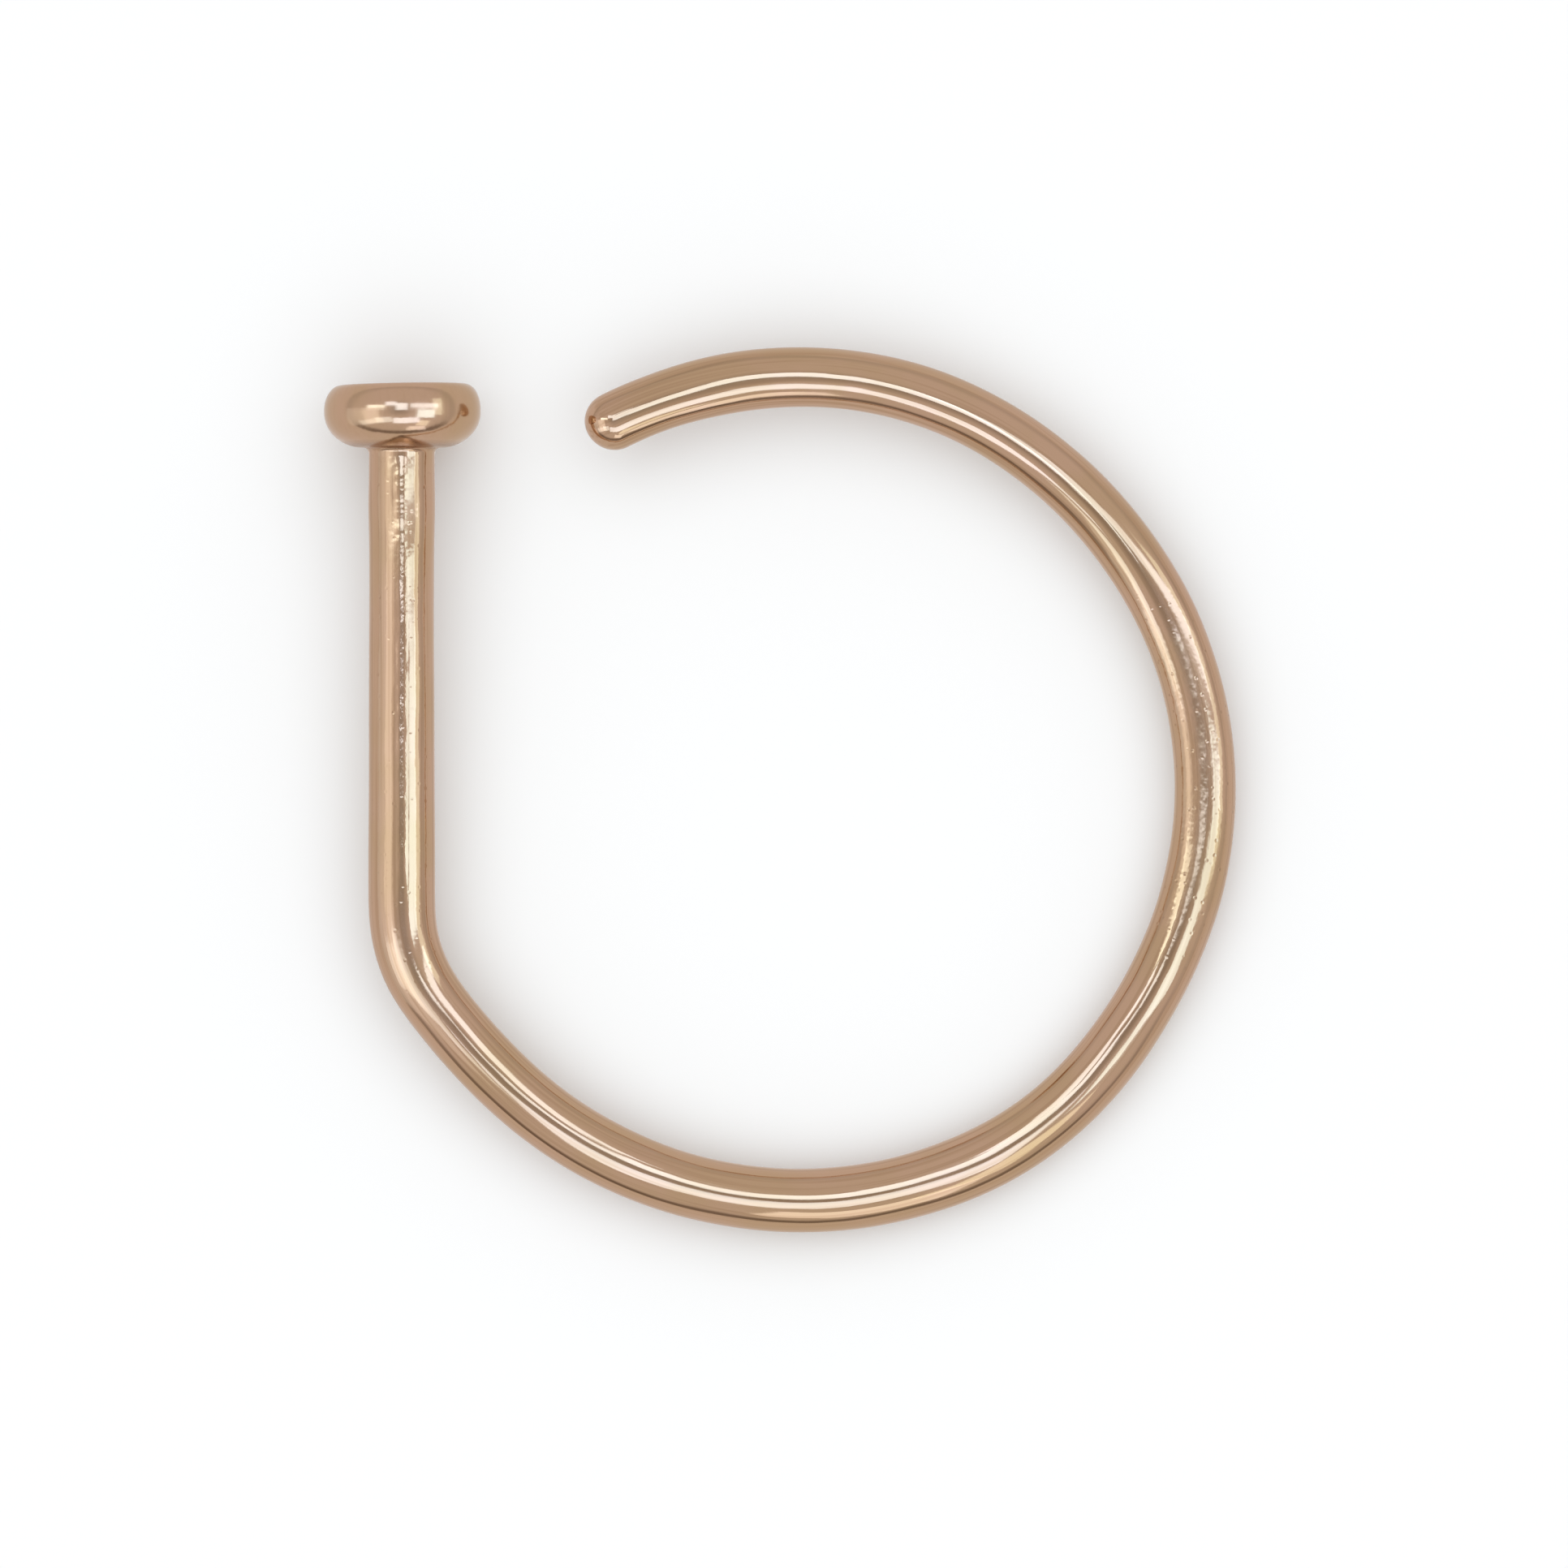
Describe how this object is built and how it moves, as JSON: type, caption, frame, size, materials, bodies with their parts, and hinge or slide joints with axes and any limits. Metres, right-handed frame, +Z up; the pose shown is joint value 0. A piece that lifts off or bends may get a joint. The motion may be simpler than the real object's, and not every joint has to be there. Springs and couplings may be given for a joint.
{
  "type": "nose ring",
  "caption": "Small open hoop of round polished wire with one straight side: a flat-topped button head on the post, a round bow, and a rounded free tip that stops short of the head.",
  "frame": {"origin": "middle of the box around the hoop, on the surface that it lies on", "axes": "+Z up, out of the surface; the straight post runs along Y on the -X side, with its head towards +Y; the round bow is towards +X"},
  "size_m": [0.0114, 0.0112, 0.002],
  "materials": {
    "polished_metal": "polished"
  },
  "bodies": {
    "root": {"hoop": "polished_metal"}
  },
  "joints": []
}
